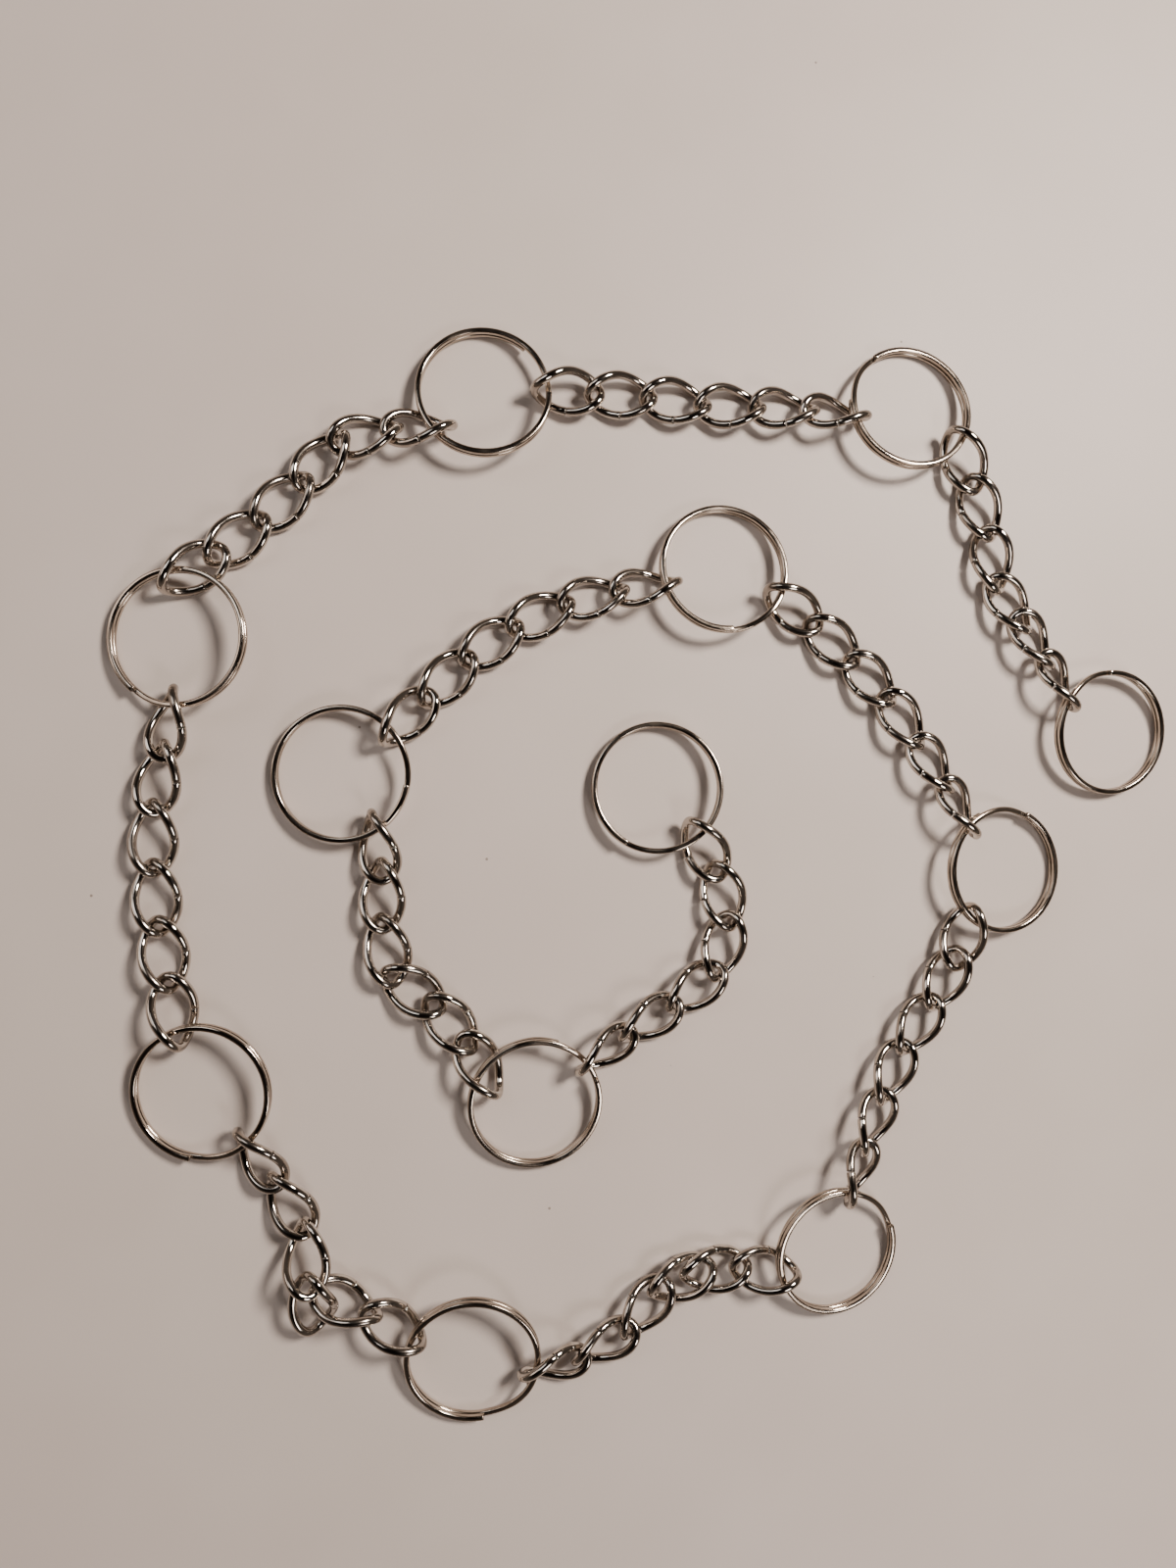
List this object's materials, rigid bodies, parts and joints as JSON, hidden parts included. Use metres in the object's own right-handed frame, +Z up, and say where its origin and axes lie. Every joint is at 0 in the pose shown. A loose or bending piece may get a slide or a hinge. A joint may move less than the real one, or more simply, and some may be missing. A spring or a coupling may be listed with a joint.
{
  "type": "ring and link chain",
  "caption": "Length of chain in bright nickel-plated steel wire: split key rings joined by runs of small twisted links, lying loose in a flat spiral.",
  "frame": {"origin": "middle of the laid chain's footprint, on the surface it lies on", "axes": "+Z up from the surface; the outer end ring lies towards +X and the chain winds anticlockwise inwards, seen from above"},
  "size_m": [0.2456, 0.244, 0.0105],
  "materials": {
    "link_nickel": "bright nickel plate on drawn steel wire",
    "ring_nickel": "bright nickel plate on rolled spring wire, slightly brushed"
  },
  "bodies": {
    "ring_1": {"ring_1": "ring_nickel"},
    "run_1_link_1": {"run_1_link_1": "link_nickel"},
    "run_1_links_2_3": {"run_1_links_2_3": "link_nickel"},
    "run_1_links_4_5": {"run_1_links_4_5": "link_nickel"},
    "run_1_link_6": {"run_1_link_6": "link_nickel"},
    "ring_2": {"ring_2": "ring_nickel"},
    "run_2_link_1": {"run_2_link_1": "link_nickel"},
    "run_2_links_2_3": {"run_2_links_2_3": "link_nickel"},
    "run_2_links_4_5": {"run_2_links_4_5": "link_nickel"},
    "run_2_link_6": {"run_2_link_6": "link_nickel"},
    "ring_3": {"ring_3": "ring_nickel"},
    "run_3_link_1": {"run_3_link_1": "link_nickel"},
    "run_3_links_2_3": {"run_3_links_2_3": "link_nickel"},
    "run_3_links_4_5": {"run_3_links_4_5": "link_nickel"},
    "run_3_link_6": {"run_3_link_6": "link_nickel"},
    "ring_4": {"ring_4": "ring_nickel"},
    "run_4_link_1": {"run_4_link_1": "link_nickel"},
    "run_4_links_2_3": {"run_4_links_2_3": "link_nickel"},
    "run_4_links_4_5": {"run_4_links_4_5": "link_nickel"},
    "run_4_link_6": {"run_4_link_6": "link_nickel"},
    "ring_5": {"ring_5": "ring_nickel"},
    "run_5_link_1": {"run_5_link_1": "link_nickel"},
    "run_5_links_2_3": {"run_5_links_2_3": "link_nickel"},
    "run_5_links_4_5": {"run_5_links_4_5": "link_nickel"},
    "run_5_link_6": {"run_5_link_6": "link_nickel"},
    "ring_6": {"ring_6": "ring_nickel"},
    "run_6_link_1": {"run_6_link_1": "link_nickel"},
    "run_6_links_2_3": {"run_6_links_2_3": "link_nickel"},
    "run_6_links_4_5": {"run_6_links_4_5": "link_nickel"},
    "run_6_link_6": {"run_6_link_6": "link_nickel"},
    "ring_7": {"ring_7": "ring_nickel"},
    "run_7_link_1": {"run_7_link_1": "link_nickel"},
    "run_7_links_2_3": {"run_7_links_2_3": "link_nickel"},
    "run_7_links_4_5": {"run_7_links_4_5": "link_nickel"},
    "run_7_link_6": {"run_7_link_6": "link_nickel"},
    "ring_8": {"ring_8": "ring_nickel"},
    "run_8_link_1": {"run_8_link_1": "link_nickel"},
    "run_8_links_2_3": {"run_8_links_2_3": "link_nickel"},
    "run_8_links_4_5": {"run_8_links_4_5": "link_nickel"},
    "run_8_link_6": {"run_8_link_6": "link_nickel"},
    "ring_9": {"ring_9": "ring_nickel"},
    "run_9_link_1": {"run_9_link_1": "link_nickel"},
    "run_9_links_2_3": {"run_9_links_2_3": "link_nickel"},
    "run_9_links_4_5": {"run_9_links_4_5": "link_nickel"},
    "run_9_link_6": {"run_9_link_6": "link_nickel"},
    "ring_10": {"ring_10": "ring_nickel"},
    "run_10_link_1": {"run_10_link_1": "link_nickel"},
    "run_10_links_2_3": {"run_10_links_2_3": "link_nickel"},
    "run_10_links_4_5": {"run_10_links_4_5": "link_nickel"},
    "run_10_link_6": {"run_10_link_6": "link_nickel"},
    "ring_11": {"ring_11": "ring_nickel"},
    "run_11_link_1": {"run_11_link_1": "link_nickel"},
    "run_11_links_2_3": {"run_11_links_2_3": "link_nickel"},
    "run_11_links_4_5": {"run_11_links_4_5": "link_nickel"},
    "run_11_link_6": {"run_11_link_6": "link_nickel"},
    "ring_12": {"ring_12": "ring_nickel"}
  },
  "joints": [
    {"name": "run_1_outer_ring_hinge", "type": "hinge", "parent": "ring_1", "child": "run_1_link_1", "pos_m": [0.09625, 0.03923, 0.00479], "axis": [-0.6428, -0.766, 0], "range_deg": [-30, 30]},
    {"name": "run_1_hinge_1_2", "type": "hinge", "parent": "run_1_link_1", "child": "run_1_links_2_3", "pos_m": [0.09118, 0.04816, 0.00379], "axis": [0.5792, 0.4056, 0.7071], "range_deg": [-20, 20]},
    {"name": "run_1_hinge_3_4", "type": "hinge", "parent": "run_1_links_2_3", "child": "run_1_links_4_5", "pos_m": [0.07823, 0.06586, 0.00289], "axis": [0.6645, 0.2418, 0.7071], "range_deg": [-15, 15]},
    {"name": "run_1_hinge_5_6", "type": "hinge", "parent": "run_1_links_4_5", "child": "run_1_link_6", "pos_m": [0.07238, 0.08946, 0.00329], "axis": [0.6645, 0.2418, -0.7071], "range_deg": [-25, 25]},
    {"name": "run_1_inner_ring_hinge", "type": "hinge", "parent": "run_1_link_6", "child": "ring_2", "pos_m": [0.0682, 0.09825, 0.00479], "axis": [-0.6428, -0.766, 0], "range_deg": [-30, 30]},
    {"name": "run_2_outer_ring_hinge", "type": "hinge", "parent": "ring_2", "child": "run_2_link_1", "pos_m": [0.04231, 0.10399, 0.00479], "axis": [-0.0872, 0.9962, 0], "range_deg": [-30, 30]},
    {"name": "run_2_hinge_1_2", "type": "hinge", "parent": "run_2_link_1", "child": "run_2_links_2_3", "pos_m": [0.03184, 0.10497, 0.00379], "axis": [0, 0.7071, -0.7071], "range_deg": [-15, 15]},
    {"name": "run_2_hinge_3_4", "type": "hinge", "parent": "run_2_links_2_3", "child": "run_2_links_4_5", "pos_m": [0.0067, 0.10485, 0.00289], "axis": [-0.0616, -0.7044, -0.7071], "range_deg": [-15, 15]},
    {"name": "run_2_hinge_5_6", "type": "hinge", "parent": "run_2_links_4_5", "child": "run_2_link_6", "pos_m": [-0.01839, 0.10601, 0.00329], "axis": [0, 0.7071, 0.7071], "range_deg": [-15, 15]},
    {"name": "run_2_inner_ring_hinge", "type": "hinge", "parent": "run_2_link_6", "child": "ring_3", "pos_m": [-0.02887, 0.10601, 0.00479], "axis": [0.0872, -0.9962, 0], "range_deg": [-30, 30]},
    {"name": "run_3_outer_ring_hinge", "type": "hinge", "parent": "ring_3", "child": "run_3_link_1", "pos_m": [-0.05492, 0.09653, 0.00479], "axis": [-0.5, 0.866, 0], "range_deg": [-15, 15]},
    {"name": "run_3_hinge_1_2", "type": "hinge", "parent": "run_3_link_1", "child": "run_3_links_2_3", "pos_m": [-0.06318, 0.09596, 0.00379], "axis": [-0.1228, 0.6964, -0.7071], "range_deg": [-15, 15]},
    {"name": "run_3_hinge_3_4", "type": "hinge", "parent": "run_3_links_2_3", "child": "run_3_links_4_5", "pos_m": [-0.08193, 0.08368, 0.00289], "axis": [-0.5, 0.5, 0.7071], "range_deg": [-25, 25]},
    {"name": "run_3_hinge_5_6", "type": "hinge", "parent": "run_3_links_4_5", "child": "run_3_link_6", "pos_m": [-0.09988, 0.06718, 0.00329], "axis": [0.4545, -0.5417, 0.7071], "range_deg": [-20, 20]},
    {"name": "run_3_inner_ring_hinge", "type": "hinge", "parent": "run_3_link_6", "child": "ring_4", "pos_m": [-0.10523, 0.06353, 0.00479], "axis": [0.9848, -0.1736, 0], "range_deg": [-25, 25]},
    {"name": "run_4_outer_ring_hinge", "type": "hinge", "parent": "ring_4", "child": "run_4_link_1", "pos_m": [-0.10897, 0.03511, 0.00479], "axis": [-0.9962, 0.0872, 0], "range_deg": [-30, 30]},
    {"name": "run_4_hinge_1_2", "type": "hinge", "parent": "run_4_link_1", "child": "run_4_links_2_3", "pos_m": [-0.11067, 0.02549, 0.00379], "axis": [0.6964, -0.1228, -0.7071], "range_deg": [-25, 25]},
    {"name": "run_4_hinge_3_4", "type": "hinge", "parent": "run_4_links_2_3", "child": "run_4_links_4_5", "pos_m": [-0.11284, 0.0008, 0.00289], "axis": [-0.7044, -0.0616, 0.7071], "range_deg": [-15, 15]},
    {"name": "run_4_hinge_5_6", "type": "hinge", "parent": "run_4_links_4_5", "child": "run_4_link_6", "pos_m": [-0.10958, -0.02361, 0.00329], "axis": [-0.6964, -0.1228, 0.7071], "range_deg": [-15, 15]},
    {"name": "run_4_inner_ring_hinge", "type": "hinge", "parent": "run_4_link_6", "child": "ring_5", "pos_m": [-0.10785, -0.03344, 0.00479], "axis": [0.9397, 0.342, 0], "range_deg": [-30, 30]},
    {"name": "run_5_outer_ring_hinge", "type": "hinge", "parent": "ring_5", "child": "run_5_link_1", "pos_m": [-0.09372, -0.05791, 0.00479], "axis": [-0.766, -0.6428, 0], "range_deg": [-30, 30]},
    {"name": "run_5_hinge_1_2", "type": "hinge", "parent": "run_5_link_1", "child": "run_5_links_2_3", "pos_m": [-0.08763, -0.06649, 0.00379], "axis": [0.6124, 0.3536, -0.7071], "range_deg": [-15, 15]},
    {"name": "run_5_hinge_3_4", "type": "hinge", "parent": "run_5_links_2_3", "child": "run_5_links_4_5", "pos_m": [-0.08009, -0.08776, 0.00869], "axis": [0.9848, 0.1736, 0], "range_deg": [-35, 0]},
    {"name": "run_5_hinge_5_6", "type": "hinge", "parent": "run_5_links_4_5", "child": "run_5_link_6", "pos_m": [-0.06743, -0.09539, 0.00569], "axis": [-0.3536, -0.6124, -0.7071], "range_deg": [-35, 35]},
    {"name": "run_5_inner_ring_hinge", "type": "hinge", "parent": "run_5_link_6", "child": "ring_6", "pos_m": [-0.05869, -0.1017, 0.00479], "axis": [0.5, 0.866, 0], "range_deg": [-30, 30]},
    {"name": "run_6_outer_ring_hinge", "type": "hinge", "parent": "ring_6", "child": "run_6_link_1", "pos_m": [-0.03183, -0.11148, 0.00479], "axis": [0.1736, 0.9848, 0], "range_deg": [-30, 30]},
    {"name": "run_6_hinge_1_2", "type": "hinge", "parent": "run_6_link_1", "child": "run_6_links_2_3", "pos_m": [-0.02142, -0.10984, 0.00379], "axis": [0.2418, -0.6645, 0.7071], "range_deg": [-15, 15]},
    {"name": "run_6_hinge_3_4", "type": "hinge", "parent": "run_6_links_2_3", "child": "run_6_links_4_5", "pos_m": [-0.00354, -0.09535, 0.00289], "axis": [0.4056, -0.5792, 0.7071], "range_deg": [-15, 15]},
    {"name": "run_6_hinge_5_6", "type": "hinge", "parent": "run_6_links_4_5", "child": "run_6_link_6", "pos_m": [0.01546, -0.09156, 0.00329], "axis": [0, 0.7071, 0.7071], "range_deg": [-15, 15]},
    {"name": "run_6_inner_ring_hinge", "type": "hinge", "parent": "run_6_link_6", "child": "ring_7", "pos_m": [0.02452, -0.09339, 0.00479], "axis": [0.1736, -0.9848, 0], "range_deg": [-15, 15]},
    {"name": "run_7_outer_ring_hinge", "type": "hinge", "parent": "ring_7", "child": "run_7_link_1", "pos_m": [0.04209, -0.07581, 0.00479], "axis": [-0.9659, 0.2588, 0], "range_deg": [-30, 30]},
    {"name": "run_7_hinge_1_2", "type": "hinge", "parent": "run_7_link_1", "child": "run_7_links_2_3", "pos_m": [0.04569, -0.06593, 0.00379], "axis": [0.6645, -0.2418, -0.7071], "range_deg": [-15, 15]},
    {"name": "run_7_hinge_3_4", "type": "hinge", "parent": "run_7_links_2_3", "child": "run_7_links_4_5", "pos_m": [0.05502, -0.04315, 0.00289], "axis": [-0.866, 0.5, 0], "range_deg": [-15, 15]},
    {"name": "run_7_hinge_5_6", "type": "hinge", "parent": "run_7_links_4_5", "child": "run_7_link_6", "pos_m": [0.06851, -0.02281, 0.00329], "axis": [-0.6409, 0.2988, 0.7071], "range_deg": [-20, 20]},
    {"name": "run_7_inner_ring_hinge", "type": "hinge", "parent": "run_7_link_6", "child": "ring_8", "pos_m": [0.07088, -0.01284, 0.00479], "axis": [0.8192, -0.5736, 0], "range_deg": [-30, 30]},
    {"name": "run_8_outer_ring_hinge", "type": "hinge", "parent": "ring_8", "child": "run_8_link_1", "pos_m": [0.07088, 0.00915, 0.00479], "axis": [-0.766, -0.6428, 0], "range_deg": [-30, 30]},
    {"name": "run_8_hinge_1_2", "type": "hinge", "parent": "run_8_link_1", "child": "run_8_links_2_3", "pos_m": [0.06567, 0.01829, 0.00379], "axis": [0.5792, 0.4056, -0.7071], "range_deg": [-15, 15]},
    {"name": "run_8_hinge_3_4", "type": "hinge", "parent": "run_8_links_2_3", "child": "run_8_links_4_5", "pos_m": [0.05145, 0.03872, 0.00289], "axis": [0.5417, 0.4545, -0.7071], "range_deg": [-25, 25]},
    {"name": "run_8_hinge_5_6", "type": "hinge", "parent": "run_8_links_4_5", "child": "run_8_link_6", "pos_m": [0.03306, 0.05549, 0.00329], "axis": [-0.4545, -0.5417, 0.7071], "range_deg": [-15, 15]},
    {"name": "run_8_inner_ring_hinge", "type": "hinge", "parent": "run_8_link_6", "child": "ring_9", "pos_m": [0.02444, 0.06144, 0.00479], "axis": [0.4226, 0.9063, 0], "range_deg": [-30, 30]},
    {"name": "run_9_outer_ring_hinge", "type": "hinge", "parent": "ring_9", "child": "run_9_link_1", "pos_m": [-0.00243, 0.06379, 0.00479], "axis": [0.2588, -0.9659, 0], "range_deg": [-30, 30]},
    {"name": "run_9_hinge_1_2", "type": "hinge", "parent": "run_9_link_1", "child": "run_9_links_2_3", "pos_m": [-0.0128, 0.06203, 0.00379], "axis": [-0.183, 0.683, 0.7071], "range_deg": [-15, 15]},
    {"name": "run_9_hinge_3_4", "type": "hinge", "parent": "run_9_links_2_3", "child": "run_9_links_4_5", "pos_m": [-0.03635, 0.05348, 0.00289], "axis": [-0.3536, 0.6124, -0.7071], "range_deg": [-15, 15]},
    {"name": "run_9_hinge_5_6", "type": "hinge", "parent": "run_9_links_4_5", "child": "run_9_link_6", "pos_m": [-0.05549, 0.03731, 0.00329], "axis": [-0.5, 0.5, 0.7071], "range_deg": [-15, 15]},
    {"name": "run_9_inner_ring_hinge", "type": "hinge", "parent": "run_9_link_6", "child": "ring_10", "pos_m": [-0.06289, 0.0299, 0.00479], "axis": [0.6428, -0.766, 0], "range_deg": [-30, 30]},
    {"name": "run_10_outer_ring_hinge", "type": "hinge", "parent": "ring_10", "child": "run_10_link_1", "pos_m": [-0.06671, 0.00825, 0.00479], "axis": [-0.9063, -0.4226, 0], "range_deg": [-30, 30]},
    {"name": "run_10_hinge_1_2", "type": "hinge", "parent": "run_10_link_1", "child": "run_10_links_2_3", "pos_m": [-0.06499, -0.00036, 0.00379], "axis": [0.7044, 0.0616, -0.7071], "range_deg": [-15, 15]},
    {"name": "run_10_hinge_3_4", "type": "hinge", "parent": "run_10_links_2_3", "child": "run_10_links_4_5", "pos_m": [-0.06375, -0.02381, 0.00289], "axis": [0.8192, 0.5736, 0], "range_deg": [-5, 5]},
    {"name": "run_10_hinge_5_6", "type": "hinge", "parent": "run_10_links_4_5", "child": "run_10_link_6", "pos_m": [-0.04657, -0.03835, 0.00329], "axis": [0.5792, 0.4056, -0.7071], "range_deg": [-15, 15]},
    {"name": "run_10_inner_ring_hinge", "type": "hinge", "parent": "run_10_link_6", "child": "ring_11", "pos_m": [-0.04348, -0.04405, 0.00479], "axis": [-0.5736, -0.8192, 0], "range_deg": [-25, 25]},
    {"name": "run_11_outer_ring_hinge", "type": "hinge", "parent": "ring_11", "child": "run_11_link_1", "pos_m": [-0.01997, -0.04405, 0.00479], "axis": [-0.5736, 0.8192, 0], "range_deg": [-30, 30]},
    {"name": "run_11_hinge_1_2", "type": "hinge", "parent": "run_11_link_1", "child": "run_11_links_2_3", "pos_m": [-0.01098, -0.03768, 0.00379], "axis": [0.3536, -0.6124, 0.7071], "range_deg": [-15, 15]},
    {"name": "run_11_hinge_3_4", "type": "hinge", "parent": "run_11_links_2_3", "child": "run_11_links_4_5", "pos_m": [0.01039, -0.02474, 0.00289], "axis": [0.8192, -0.5736, 0], "range_deg": [-5, 5]},
    {"name": "run_11_hinge_5_6", "type": "hinge", "parent": "run_11_links_4_5", "child": "run_11_link_6", "pos_m": [0.0102, -0.00123, 0.00329], "axis": [-0.6645, -0.2418, 0.7071], "range_deg": [-20, 20]},
    {"name": "run_11_inner_ring_hinge", "type": "hinge", "parent": "run_11_link_6", "child": "ring_12", "pos_m": [0.00538, 0.00666, 0.00479], "axis": [0.766, 0.6428, 0], "range_deg": [-30, 0]}
  ]
}
